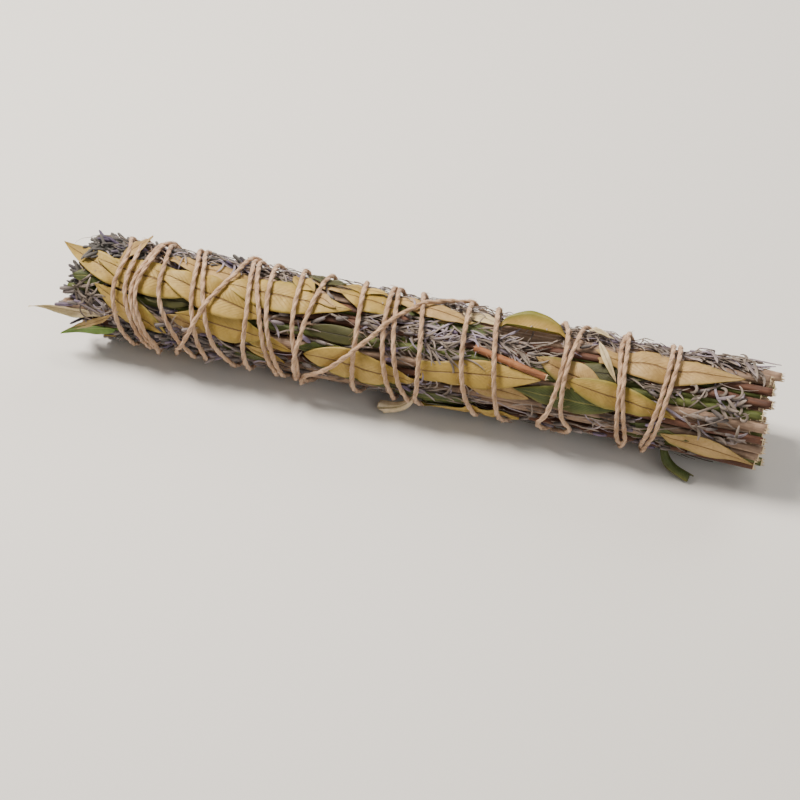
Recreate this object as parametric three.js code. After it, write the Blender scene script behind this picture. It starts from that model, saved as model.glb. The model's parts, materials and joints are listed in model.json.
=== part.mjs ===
// A lavender smudge stick: dried lavender sprigs, wrapped in long narrow leaves and wound with jute twine.
// Millimetres, +Z up. The bundle lies along X, with its flower end at -X and its cut stems at +X.
// A place on the bundle is given by x, an angle in degrees and a radius about the bundle's axis:
// angle 0 faces -Y, 90 is the top, -90 the underside and 180 the back.
import * as THREE from 'three';

// Driving dimensions of the bundle
const AXIS_HEIGHT = 18;
const UNDERSIDE_SQUASH = 2.45; // how far the stick's own weight has flattened its underside
const RING_RADIUS = 14.4; // outside of the outer ring of stems
const RING_FLARE = 0.9; // how much wider the stems stand past the last turn of twine
const FLARE_FROM = 72;
const FLARE_TO = 112;
const CORE_RADIUS = 6.4; // where the inner sprigs stand

// Leaves
const LEAF_THICKNESS = 0.3;
const LEAF_CLEARANCE = 0.4; // from the stems to the middle of the innermost leaf
const LEAF_LEVEL = 0.6; // from one leaf to the next that overlaps it
const UNROLL_RADIUS = 16; // where a leaf's width and slant are measured

// Twine
const TWINE_RADIUS = 0.72;
const TWINE_SEAT = 18; // radius of the twine's centre line at the thickest place
const THICKEST_X = -25;
const TAPER = 0.00009; // how fast the bundle gets thinner away from there
const TWINE_LIFT = 1.7; // of the turns that come back over the first ones
const TURN_ANGLES = [140, 90, 45, 0, -30];
const STEPS_PER_TURN = 16;
const KNOT_ANGLE = 200;

// Counts of flats round and steps along each piece
const TWINE_FLATS = 6;
const SPRIG_FLATS = 6;
const SPRIG_STEPS = 11;
const LEAF_STEPS = 6;
const LEAF_FLATS = 3;

const { degToRad, lerp, smoothstep } = THREE.MathUtils;

const finish = (color, roughness) => new THREE.MeshStandardMaterial({ color, roughness, metalness: 0 });
const FINISHES = {
  gold: finish('#c2a052', 0.7),
  tan: finish('#b89a62', 0.75),
  olive: finish('#6c6a2c', 0.75),
  green: finish('#7d8a2c', 0.65),
  pale: finish('#cfc3a0', 0.8),
  sprig: finish('#7d7488', 0.95),
  greyStem: finish('#94807a', 0.85),
  brownStem: finish('#6d4430', 0.8),
  greenStem: finish('#6f7a30', 0.7),
  twine: finish('#c49a78', 0.95),
};

const stick = new THREE.Group();

/** A point from its place on the bundle. */
function place(x, angle, radius) {
  const a = degToRad(angle);
  const floor = Math.min(0, UNDERSIDE_SQUASH - radius);
  return new THREE.Vector3(x, -radius * Math.cos(a), AXIS_HEIGHT + Math.max(radius * Math.sin(a), floor));
}

/** The outside radius of the ring of stems at x. */
const ringRadius = (x) => RING_RADIUS + RING_FLARE * smoothstep(x, FLARE_FROM, FLARE_TO);

/** The radius of the twine's centre line at x, on its lowest layer. */
const twineRadius = (x) => TWINE_SEAT - TAPER * (x - THICKEST_X) ** 2;

/** Moves every vertex of a geometry with map(vertex), and adds it to the stick as a named piece. */
function addPiece(name, geometry, material, map) {
  const positions = geometry.attributes.position;
  const vertex = new THREE.Vector3();
  for (let i = 0; i < positions.count; i += 1) {
    vertex.copy(map(vertex.fromBufferAttribute(positions, i)));
    positions.setXYZ(i, vertex.x, vertex.y, vertex.z);
  }
  geometry.computeVertexNormals();
  const piece = new THREE.Mesh(geometry, material);
  piece.name = name;
  stick.add(piece);
}

/** A round rod along centre(t), t from 0 to 1, of radius thickness(t), with flat ends. */
function addRod(name, material, flats, steps, centre, thickness) {
  const rod = new THREE.CylinderGeometry(1, 1, 1, flats, steps);
  const step = 0.5 / steps;
  addPiece(name, rod, material, (vertex) => {
    const t = 0.5 - vertex.y;
    const ahead = centre(Math.min(1, t + step)).sub(centre(Math.max(0, t - step))).normalize();
    const middle = centre(t);
    const out = new THREE.Vector3(0, middle.y, middle.z - AXIS_HEIGHT);
    out.addScaledVector(ahead, -out.dot(ahead));
    if (out.lengthSq() < 1e-6) out.set(0, 0, 1);
    out.normalize();
    const across = new THREE.Vector3().crossVectors(ahead, out);
    const size = thickness(t);
    return middle.addScaledVector(out, vertex.x * size).addScaledVector(across, vertex.z * size);
  });
}

// ---------------------------------------------------------------- sprigs and stems

/** The radius of a sprig at x: a woody stem, then the flower spike, tapering to its tip. */
function sprigThickness(x, tip, stem, spike) {
  const swell = 1 - smoothstep(x, -78, -52);
  const taper = smoothstep(x, tip - 4, tip + 16);
  return lerp(stem, spike * lerp(0.35, 1, taper), swell);
}

// name, finish, angle at the cut end, angle at the flower end, cut end x, flower tip x, stem radius
const OUTER_SPRIGS = [
  ['sprig_top_back', 'sprig', 114, 130, 116, -97, 1.5],
  ['sprig_top', 'greyStem', 96.5, 106, 113, -103, 1.45],
  ['sprig_upper_brown', 'brownStem', 79, 82, 114.5, -101, 1.3],
  ['sprig_red', 'brownStem', 62, 58, 115, -106, 1.35],
  ['sprig_green', 'greenStem', 46, 34, 113, -110, 1.4],
  ['sprig_grey', 'greyStem', 31, 10, 115, -111, 1.5],
  ['sprig_dark', 'brownStem', 16, -14, 114.5, -104, 1.2],
  ['sprig_tan', 'greyStem', 2, -38, 115, -107, 1.45],
  ['sprig_low_tan', 'greyStem', -14, -62, 114, -101, 1.4],
  ['sprig_under_a', 'brownStem', -38, -86, 113, -105, 1.4],
  ['sprig_under_b', 'greenStem', -66, -110, 115, -99, 1.45],
  ['sprig_under_c', 'greyStem', -94, -134, 114, -108, 1.4],
  ['sprig_back_a', 'brownStem', -124, -158, 112.5, -102, 1.4],
  ['sprig_back_b', 'greyStem', -156, -182, 114.5, -106, 1.45],
  ['sprig_back_c', 'greenStem', -190, -206, 113.5, -100, 1.4],
];
const OUTER_SPIKE = 2.25;

for (const [name, look, cutAngle, tipAngle, cutX, tipX, stem] of OUTER_SPRIGS) {
  const at = (t) => lerp(cutX, tipX, t);
  const size = (t) => sprigThickness(at(t), tipX, stem, OUTER_SPIKE);
  const centre = (t) => {
    const turn = lerp(tipAngle, cutAngle, smoothstep(at(t), -70, 40));
    return place(at(t), turn, ringRadius(at(t)) - size(t));
  };
  addRod(name, FINISHES[look], SPRIG_FLATS, SPRIG_STEPS, centre, size);
}

const INNER_SPRIGS = 6;
const INNER_SPIKE = 2.7;
const INNER_STEM = 1.5;
const HEART_SPIKE = 2.1;
const HEART_RISE = 1.1; // the middle sprig stands above the axis, because the underside is flattened

for (let i = 0; i <= INNER_SPRIGS; i += 1) {
  const heart = i === INNER_SPRIGS;
  const cutX = 111 + 3 * Math.sin(2.1 * i);
  const tipX = -103 + 5 * Math.cos(1.7 * i);
  const at = (t) => lerp(cutX, tipX, t);
  const spike = heart ? HEART_SPIKE : INNER_SPIKE;
  const size = (t) => sprigThickness(at(t), tipX, INNER_STEM, spike);
  const turn = heart ? 90 : 30 + (360 / INNER_SPRIGS) * i;
  const centre = (t) => place(at(t), turn, heart ? HEART_RISE : CORE_RADIUS);
  addRod(`sprig_inner_${i + 1}`, FINISHES.sprig, SPRIG_FLATS, SPRIG_STEPS, centre, size);
}

// A bare twig lies across the sprigs, under the twine.
const TWIG_RADIUS = 1;
const twigCentre = (t) => place(lerp(24, 47, t), lerp(58, 41, t), RING_RADIUS + TWIG_RADIUS + 0.1);
addRod('twig', FINISHES.brownStem, SPRIG_FLATS, 3, twigCentre, () => TWIG_RADIUS);

// ---------------------------------------------------------------- leaves

/** A lance-shaped leaf's half width, as a part of its widest, from its base (0) to its tip (1). */
function leafOutline(t, base) {
  const lance = Math.sin(Math.PI * t ** 0.85) ** 0.85;
  return Math.max(lance, t < 0.45 ? base : 0, 0.08);
}

/** A leaf laid round the bundle. Its base and tip are [x, angle, level]; lift raises its tip off the bundle. */
function addLeaf(name, look, base, tip, width, { cut = 0, lift = 0, rise = 6 } = {}) {
  const [x0, a0, level0] = base;
  const [x1, a1, level1] = tip;
  const along = new THREE.Vector2(x1 - x0, degToRad(a1 - a0) * UNROLL_RADIUS);
  const side = new THREE.Vector2(-along.y, along.x).normalize();
  const leaf = new THREE.BoxGeometry(1, 1, 1, LEAF_STEPS, LEAF_FLATS, 1);
  addPiece(name, leaf, FINISHES[look], (vertex) => {
    const t = vertex.x + 0.5;
    const across = vertex.y * width * leafOutline(t, cut);
    const x = x0 + along.x * t + side.x * across;
    const angle = a0 + (a1 - a0) * t + THREE.MathUtils.radToDeg((side.y * across) / UNROLL_RADIUS);
    const level = LEAF_CLEARANCE + LEAF_LEVEL * lerp(level0, level1, t) + lift * t ** rise;
    return place(x, angle, ringRadius(x) + level + LEAF_THICKNESS * vertex.z);
  });
}

addLeaf('leaf_end_long', 'gold', [-86, 47, 0], [-114.5, 87, 1.1], 9);
addLeaf('leaf_end_gold', 'gold', [-66, 57, 1], [-102, 74, 2.2], 12.5);
addLeaf('leaf_end_low', 'gold', [-76, -4, 0.3], [-100.5, 45, 1.5], 9.5);
addLeaf('leaf_dark_end', 'olive', [-84, 41, 0], [-67, 45, 0], 6);
addLeaf('leaf_wide_gold', 'gold', [-44, 44, 1.6], [-82, 73, 3], 11.5);
addLeaf('leaf_high_gold', 'tan', [-50, 86, 0.8], [-82, 99, 2], 8);
addLeaf('leaf_over_gold', 'gold', [-59, 76, 3], [-16.5, 71, 2], 11);
addLeaf('leaf_low_gold', 'gold', [-42, 20, 0.9], [-72.5, 30, 1.6], 9.7);
addLeaf('leaf_low_yellow', 'gold', [-56, 24, 0], [-33, 9, 0.1], 6);
addLeaf('leaf_ridge_tan', 'tan', [-13, 109, 0.4], [-37, 119, 1.2], 9.5);
addLeaf('leaf_cut_gold', 'gold', [-4, 88, 2.2], [-22.5, 95, 2.6], 10, { cut: 0.8 });
addLeaf('leaf_dark_middle', 'olive', [-30, 42, 0.2], [-6, 42, 0.2], 6);
addLeaf('leaf_front_gold', 'gold', [-29.5, 10, 1.6], [8, 5, 2.2], 11);
addLeaf('leaf_ridge_green', 'green', [-1, 111, 0.3], [15, 82, 0.3], 8);
addLeaf('leaf_ridge_pale', 'pale', [16, 118, 0.2], [29, 99, 0.2], 7);
addLeaf('leaf_ridge_folded', 'green', [28, 96, 1.6], [52, 100, 1.4], 11);
addLeaf('leaf_torn_gold', 'gold', [7.5, 20, 0.8], [46, 37, 1.6], 9.5, { cut: 0.75 });
addLeaf('leaf_low_pale', 'pale', [22, 13, 0], [43, 12, 0], 7);
addLeaf('leaf_bright_green', 'green', [70, 18, 0.2], [38, 21, 0.9], 9);
addLeaf('leaf_green_edged', 'tan', [66, 38, 1], [43, 60, 1.5], 9.5);
addLeaf('leaf_slanting_gold', 'gold', [53.5, 42, 2.4], [88, 24, 1.2], 9);
addLeaf('leaf_broad_gold', 'gold', [61, 78, 2.2], [106, 83, 0.3], 11.5, { cut: 0.5 });
addLeaf('leaf_cut_end', 'olive', [84, -2, 0.3], [113, -18, 0.3], 8);
addLeaf('leaf_stray_pale', 'pale', [-97, 4, 0], [-122, 4, 0.6], 3.4, { cut: 0.6, lift: 0.8 });
addLeaf('leaf_stray_green', 'green', [-92, -14, 0.2], [-113, -32, 0.6], 5.5, { lift: 1.4 });
addLeaf('leaf_curled_tip', 'pale', [16, -100, 0], [-6, -52, 0.3], 6, { lift: 0.7 });
addLeaf('leaf_under_front', 'olive', [34, -66, 0.2], [8, -30, 0.6], 8.5);
addLeaf('leaf_touching', 'green', [74, -40, 0.2], [95, -46, 0.6], 5.5, { lift: 7.5, rise: 5 });
addLeaf('leaf_under_a', 'gold', [-58, -70, 1], [-100, -48, 1.6], 10);
addLeaf('leaf_under_b', 'tan', [-22, -84, 0.6], [-66, -96, 1.8], 11);
addLeaf('leaf_under_c', 'gold', [66, -98, 0.6], [28, -112, 1.6], 11);
addLeaf('leaf_back_a', 'gold', [-56, -154, 0.5], [-98, -140, 1.6], 12);
addLeaf('leaf_back_b', 'olive', [-12, -166, 0.5], [-54, -178, 1.7], 11);
addLeaf('leaf_back_c', 'gold', [34, -150, 0.5], [-8, -142, 1.8], 12);
addLeaf('leaf_back_d', 'gold', [84, -168, 0.4], [42, -188, 1.4], 11);

// ---------------------------------------------------------------- twine

// Where each pass over the front of the bundle lies: x at each of TURN_ANGLES.
// The first passes work towards the cut stems, and the others come back over them.
const OUTWARD_PASSES = [
  [-97, -93, -94, -91.5, -89],
  [-92, -90, -90.2, -86, -83.5],
  [-85, -85.5, -88, -84, -81],
  [-82.5, -80, -78.5, -72, -68],
  [-73, -69.5, -67.5, -64.6, -63.3],
  [-70.5, -67.2, -63.4, -59, -54.5],
  [-54.2, -51.4, -49.1, -49.1, -48.9],
  [-52, -49.3, -44.8, -41.3, -39.6],
  [-46, -44.7, -42.5, -39, -37.5],
  [-37, -35, -33.8, -31.3, -31],
  [-17, -14.6, -13, -13, -13.2],
  [-7.5, -6, -4.5, -2, -0.5],
  [-5.5, -3.4, -1, 2, 4.2],
  [2, 5, 7.5, 7.9, 7],
  [17.5, 19.3, 20.8, 23.3, 25.5],
  [26.5, 28.6, 31, 33, 34],
  [47.5, 51.1, 51.7, 49.3, 46.3],
  [67, 67.8, 70, 71, 71.5],
  [82, 83.3, 83, 80.8, 79],
];
const RETURN_PASSES = [
  [84.3, 85.5, 84.7, 82.6, 80],
  [68.5, 69.7, 71.2, 73.3, 73.5],
  [55.5, 54.2, 53.2, 53.7, 56],
  [17, 2.5, -8.5, -21, -30.5],
  [-28, -28.4, -30, -31.8, -32.2],
  [-54.5, -56.2, -62.7, -68.5, -73],
  [-83.3, -84, -86.2, -82.3, -79.5],
];
const KNOT_FROM = -95;
const KNOT_TO = -90.5;

/** The twine's route: a function from 0 to 1 that gives its centre line, and its number of steps. */
function twineRoute() {
  const turned = [-KNOT_ANGLE];
  const values = [KNOT_FROM, 0];
  const passes = [...OUTWARD_PASSES, ...RETURN_PASSES];
  passes.forEach((pass, turn) => {
    const layer = turn < OUTWARD_PASSES.length ? 0 : 1;
    TURN_ANGLES.forEach((angle, i) => {
      turned.push(360 * turn - angle);
      values.push(pass[i], layer);
    });
  });
  turned.push(360 * passes.length - KNOT_ANGLE);
  values.push(KNOT_TO, 1);
  const line = new THREE.CubicInterpolant(turned, values, 2);
  const whole = 360 * passes.length;
  const centre = (t) => {
    const angle = t * whole - KNOT_ANGLE;
    const [x, layer] = line.evaluate(angle);
    return place(x, -angle, twineRadius(x) + TWINE_LIFT * layer);
  };
  return { centre, steps: passes.length * STEPS_PER_TURN };
}

const { centre: twineCentre, steps: twineSteps } = twineRoute();
addRod('twine', FINISHES.twine, TWINE_FLATS, twineSteps, twineCentre, () => TWINE_RADIUS);

// The origin is the middle of the whole stick's footprint, on the surface that it lies on.
const extent = new THREE.Box3().setFromObject(stick, true);
const middle = extent.getCenter(new THREE.Vector3());
stick.position.set(-middle.x, -middle.y, -extent.min.z);

export default stick;
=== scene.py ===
"""A lavender smudge stick: dried sprigs wrapped in long leaves and wound with jute twine."""

import json
import logging
import math
from dataclasses import dataclass, field
from enum import Enum
from typing import Callable, Sequence

import bpy
import numpy as np
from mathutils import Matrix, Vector

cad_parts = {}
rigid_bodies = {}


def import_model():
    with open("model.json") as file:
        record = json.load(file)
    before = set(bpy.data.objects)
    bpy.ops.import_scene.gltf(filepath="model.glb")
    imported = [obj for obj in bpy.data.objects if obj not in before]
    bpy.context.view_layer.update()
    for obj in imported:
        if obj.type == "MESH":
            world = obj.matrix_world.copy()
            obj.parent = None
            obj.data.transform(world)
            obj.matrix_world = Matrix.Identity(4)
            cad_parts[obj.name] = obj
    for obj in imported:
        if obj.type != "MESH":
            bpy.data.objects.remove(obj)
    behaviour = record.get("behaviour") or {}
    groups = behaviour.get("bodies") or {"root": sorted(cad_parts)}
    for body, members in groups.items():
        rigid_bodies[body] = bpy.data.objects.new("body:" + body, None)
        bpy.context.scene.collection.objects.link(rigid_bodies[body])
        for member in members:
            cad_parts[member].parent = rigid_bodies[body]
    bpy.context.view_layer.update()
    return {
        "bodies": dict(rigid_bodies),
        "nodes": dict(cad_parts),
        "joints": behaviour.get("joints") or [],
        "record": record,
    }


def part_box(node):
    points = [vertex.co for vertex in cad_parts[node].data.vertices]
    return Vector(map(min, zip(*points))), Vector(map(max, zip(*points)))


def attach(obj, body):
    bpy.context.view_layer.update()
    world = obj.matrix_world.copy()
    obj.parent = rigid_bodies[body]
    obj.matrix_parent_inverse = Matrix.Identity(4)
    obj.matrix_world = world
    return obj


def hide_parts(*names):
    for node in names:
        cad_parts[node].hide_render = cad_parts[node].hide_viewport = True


MM = 0.001
FULL_TURN = 2 * math.pi
LOG = logging.getLogger("smudge_stick")
Array = np.ndarray
Colour = tuple[float, float, float]
Place = tuple[float, float, float]


# ---------------------------------------------------------------- the bundle's shape

# Where each pass of the twine over the front lies, in metres: x at each of TURN_ANGLES.
TURN_ANGLES = (140, 90, 45, 0, -30)
OUTWARD_PASSES = (
    (-0.097, -0.093, -0.094, -0.0915, -0.089),
    (-0.092, -0.090, -0.0902, -0.086, -0.0835),
    (-0.085, -0.0855, -0.088, -0.084, -0.081),
    (-0.0825, -0.080, -0.0785, -0.072, -0.068),
    (-0.073, -0.0695, -0.0675, -0.0646, -0.0633),
    (-0.0705, -0.0672, -0.0634, -0.059, -0.0545),
    (-0.0542, -0.0514, -0.0491, -0.0491, -0.0489),
    (-0.052, -0.0493, -0.0448, -0.0413, -0.0396),
    (-0.046, -0.0447, -0.0425, -0.039, -0.0375),
    (-0.037, -0.035, -0.0338, -0.0313, -0.031),
    (-0.017, -0.0146, -0.013, -0.013, -0.0132),
    (-0.0075, -0.006, -0.0045, -0.002, -0.0005),
    (-0.0055, -0.0034, -0.001, 0.002, 0.0042),
    (0.002, 0.005, 0.0075, 0.0079, 0.007),
    (0.0175, 0.0193, 0.0208, 0.0233, 0.0255),
    (0.0265, 0.0286, 0.031, 0.033, 0.034),
    (0.0475, 0.0511, 0.0517, 0.0493, 0.0463),
    (0.067, 0.0678, 0.070, 0.071, 0.0715),
    (0.082, 0.0833, 0.083, 0.0808, 0.079),
)
RETURN_PASSES = (
    (0.0843, 0.0855, 0.0847, 0.0826, 0.080),
    (0.0685, 0.0697, 0.0712, 0.0733, 0.0735),
    (0.0555, 0.0542, 0.0532, 0.0537, 0.056),
    (0.017, 0.0025, -0.0085, -0.021, -0.0305),
    (-0.028, -0.0284, -0.030, -0.0318, -0.0322),
    (-0.0545, -0.0562, -0.0627, -0.0685, -0.073),
    (-0.0833, -0.084, -0.0862, -0.0823, -0.0795),
)
PASSES = OUTWARD_PASSES + RETURN_PASSES
KNOT_ANGLE = 200
KNOT_FROM = -0.095
KNOT_TO = -0.0905


@dataclass
class Bundle:
    """The round bundle that every piece lies in or on.

    Places are x, angle and radius, in millimetres and degrees. Angle 0 faces -Y, 90 is the top, -90 the
    underside and 180 the back.
    """

    axis_height: float = 17.55
    squash: float = 0.75
    ring: float = 14.4
    flare: float = 0.9
    flare_from: float = 72.0
    flare_to: float = 112.0
    twine_seat: float = 17.1
    thickest_x: float = -25.0
    taper: float = 0.00009
    twine_radius: float = 0.75
    cad_axis_height: float = 18.0
    cad_squash: float = 2.45
    cut_end: float = 116.0
    press_depth: float = 0.6
    loose_depth: float = 2.9
    bulge: float = 0.075
    shift: Array = field(init=False)
    knots: Array = field(init=False)
    knot_places: Array = field(init=False)

    def __post_init__(self) -> None:
        """Finds where the bundle's axis stands in the shared frame, and the knots of the twine's curve."""
        low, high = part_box("twine")
        shift_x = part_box("sprig_top_back")[1][0] / MM - self.cut_end
        self.shift = np.array([shift_x, (low[1] + high[1]) / 2 / MM, self.axis_height])
        turned, places = [-KNOT_ANGLE], [KNOT_FROM / MM]
        for turn, one in enumerate(PASSES):
            turned += [360 * turn - angle for angle in TURN_ANGLES]
            places += [x / MM for x in one]
        self.knots = np.array(turned + [360 * len(PASSES) - KNOT_ANGLE], float)
        self.knot_places = np.array(places + [KNOT_TO / MM], float)

    def twine_x(self, turned: Array) -> Array:
        """The twine's x at unwound angles, on a smooth curve through its knots.

        Args:
            turned: Unwound angles in degrees.

        Returns:
            x in millimetres.
        """
        knots, places = self.knots, self.knot_places
        slopes = np.gradient(places, knots)
        slopes[1:-1] = (places[2:] - places[:-2]) / (knots[2:] - knots[:-2])
        i = np.clip(np.searchsorted(knots, turned) - 1, 0, len(knots) - 2)
        width = knots[i + 1] - knots[i]
        t = (turned - knots[i]) / width
        a, b = places[i], places[i + 1]
        ma, mb = slopes[i] * width, slopes[i + 1] * width
        return (2*t**3 - 3*t**2 + 1)*a + (t**3 - 2*t**2 + t)*ma + (3*t**2 - 2*t**3)*b + (t**3 - t**2)*mb

    def strands_at(self, angle: Array) -> Array:
        """x of every strand of twine at given angles.

        Args:
            angle: Angles round the bundle, of any shape.

        Returns:
            An array with one more axis, one entry for each turn.
        """
        turns = np.arange(len(PASSES))
        phase = np.mod(KNOT_ANGLE - angle, 360.0) - KNOT_ANGLE
        return self.twine_x(phase[..., None] + 360.0 * turns)

    def from_twine(self, x: Array, angle: Array) -> Array:
        """Millimetres along the bundle from places on it to the nearest strand of twine."""
        return np.min(np.abs(self.strands_at(angle) - x[..., None]), -1)

    def from_axis(self, points: Array) -> Array:
        """How far points in metres stand off the bundle's axis, square to it."""
        return (points - self.shift * MM) * [0, 1, 1]

    def place(self, x: Array, angle: Array, radius: Array) -> Array:
        """Points in the shared frame.

        Args:
            x: Places along the bundle, in millimetres.
            angle: Angles round it, in degrees.
            radius: Distances from its axis, in millimetres.

        Returns:
            Points in metres, with a last axis of 3.
        """
        a = np.radians(angle)
        floor = np.minimum(0.0, self.squash - radius)
        rise = np.maximum(radius * np.sin(a), floor)
        parts = np.broadcast_arrays(
            x + self.shift[0], -radius * np.cos(a) + self.shift[1], self.axis_height + rise)
        return np.stack(parts, -1) * MM

    def unroll(self, points: Array) -> tuple[Array, Array, Array]:
        """Where points of the CAD model lie on the bundle.

        Args:
            points: Points of the shared frame, in metres.

        Returns:
            x, angle from -180 to 180, and radius.
        """
        p = points / MM
        y, z = p[:, 1] - self.shift[1], p[:, 2] - self.cad_axis_height
        radius = np.hypot(y, z)
        flattened = (z < 0) & (radius < self.ring + 0.2)
        angle = np.degrees(np.arctan2(z - np.where(flattened, self.cad_squash, 0.0), -y))
        return p[:, 0] - self.shift[0], angle, radius

    def ring_radius(self, x: Array) -> Array:
        """The outside radius of the stems at x."""
        t = np.clip((x - self.flare_from) / (self.flare_to - self.flare_from), 0, 1)
        return self.ring + self.flare * t * t * (3 - 2 * t)

    def seat_radius(self, x: Array) -> Array:
        """The radius of the twine's centre line at x."""
        return self.twine_seat - self.taper * (x - self.thickest_x) ** 2

    def pressed(self, x: Array, angle: Array, radius: Array) -> Array:
        """Radii of things on the bundle, pressed in where the twine crosses them.

        Args:
            x: Places along the bundle.
            angle: Angles round it.
            radius: Radii before the twine was wound.

        Returns:
            Radii after.
        """
        ring = self.ring_radius(x) - self.press_depth
        cap = self.seat_radius(x) - self.twine_radius - 0.1 + self.bulge * self.from_twine(x, angle) ** 2
        scale = np.clip((cap - ring) / self.loose_depth, 0.2, 1.0)
        return np.where(radius > ring, ring + (radius - ring) * scale, radius)


def slots_of(frame: dict) -> dict[str, str]:
    """The record's material slot for each node."""
    return {row["node"]: row["material_slot"] for row in frame["record"]["subparts"]}


# ---------------------------------------------------------------- meshes

def unit(vectors: Array) -> Array:
    """The same vectors, one unit long."""
    return vectors / (np.linalg.norm(vectors, axis=-1, keepdims=True) + 1e-12)


def across_line(centre: Array) -> tuple[Array, Array]:
    """Two directions across a line, square to each other.

    Args:
        centre: The line's points.

    Returns:
        The two directions at each point.
    """
    ahead = unit(np.gradient(centre, axis=0))
    guide = np.array([0.0, 0.0, 1.0]) if abs(ahead[0][2]) < 0.9 else np.array([0.0, 1.0, 0.0])
    out = unit(guide - ahead * (ahead @ guide)[:, None])
    return out, np.cross(ahead, out)


def look_of(along: object, across: object, tint: object, mark: object) -> Array:
    """The four numbers that a material reads at each point, on one last axis."""
    return np.stack(np.broadcast_arrays(along, across, tint, mark), -1)


@dataclass
class Skin:
    """A mesh being gathered: points, faces and four numbers per point that its material reads."""

    points: list[Array] = field(default_factory=list)
    faces: list[Array] = field(default_factory=list)
    looks: list[Array] = field(default_factory=list)
    count: int = 0
    floor_gap: float = 0.05

    def add(self, points: Array, faces: Array, look: Array) -> None:
        """Adds a part with its own points.

        Args:
            points: Points in metres, a row each.
            faces: Quads, as indices into points.
            look: Four numbers per point.
        """
        self.points.append(points)
        self.faces.append(faces + self.count)
        self.looks.append(look)
        self.count += len(points)

    def add_tube(self, centre: Array, radius: Array, sides: int, look: Array,
                 frame: tuple[Array, Array] | None = None) -> None:
        """Adds a closed tube.

        Args:
            centre: Points along its middle.
            radius: Its radius at each of them, or at each of them and each side.
            sides: Flats round it.
            look: Four numbers for all of it, for each point of its middle, or for each side of each point.
            frame: Two directions across it at each point of the middle, or None to work them out.
        """
        n = len(centre)
        out, across = frame or across_line(centre)
        turn = np.linspace(0, FULL_TURN, sides, endpoint=False)
        size = np.broadcast_to(np.asarray(radius, float).reshape(n, -1), (n, sides))
        ring = out[:, None] * np.cos(turn)[:, None] + across[:, None] * np.sin(turn)[:, None]
        points = (centre[:, None] + ring * size[..., None]).reshape(-1, 3)
        at = np.arange(n * sides).reshape(n, sides)
        after = np.roll(at, -1, 1)
        quads = np.stack([at[:-1], after[:-1], after[1:], at[1:]], -1).reshape(-1, 4)
        start = np.stack([np.full(sides, n * sides), after[0], at[0], at[0]], -1)
        end = np.stack([np.full(sides, n * sides + 1), at[-1], after[-1], after[-1]], -1)
        shaped = look if look.ndim == 3 else look.reshape(-1, 1, 4)
        looks = np.broadcast_to(shaped, (n, sides, 4)).reshape(-1, 4)
        self.add(np.concatenate([points, centre[:1], centre[-1:]]), np.concatenate([quads, start, end]),
                 np.concatenate([looks, looks[:1], looks[-1:]]))

    def add_sheet(self, top: Array, under: Array, look: Array) -> None:
        """Adds a thin closed sheet.

        Args:
            top: A grid of points, (rows, columns, 3).
            under: The same grid on the other side.
            look: Four numbers per grid point.
        """
        rows, columns = top.shape[:2]
        lower = rows * columns
        at = np.arange(lower).reshape(rows, columns)
        quads = np.stack([at[:-1, :-1], at[1:, :-1], at[1:, 1:], at[:-1, 1:]], -1).reshape(-1, 4)
        edge = np.concatenate([at[0, :], at[1:, -1], at[-1, -2::-1], at[-2:0:-1, 0]])
        after = np.roll(edge, -1)
        rim = np.stack([edge, after, after + lower, edge + lower], -1)
        points = np.concatenate([top.reshape(-1, 3), under.reshape(-1, 3)])
        looks = look.reshape(-1, 4)
        self.add(points, np.concatenate([quads, quads[:, ::-1] + lower, rim]), np.concatenate([looks, looks]))

    def make(self, name: str, finish: bpy.types.Material) -> bpy.types.Object:
        """Makes the mesh object, kept off the floor.

        Args:
            name: The piece's name.
            finish: Its material.

        Returns:
            The object, in the scene and riding on the root body.
        """
        points = np.concatenate(self.points)
        points[:, 2] = np.maximum(points[:, 2], self.floor_gap * MM)
        quads = [tuple(f) if f[2] != f[3] else tuple(f[:3]) for f in np.concatenate(self.faces).tolist()]
        mesh = bpy.data.meshes.new(name)
        mesh.from_pydata(points.tolist(), [], quads)
        mesh.polygons.foreach_set("use_smooth", np.full(len(quads), True))
        layer = mesh.color_attributes.new("look", "FLOAT_COLOR", "POINT")
        layer.data.foreach_set("color", np.concatenate(self.looks).astype(np.float32).ravel())
        mesh.materials.append(finish)
        piece = bpy.data.objects.new(name, mesh)
        bpy.context.scene.collection.objects.link(piece)
        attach(piece, "root")
        return piece


# ---------------------------------------------------------------- shader groups and finishes

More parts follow.
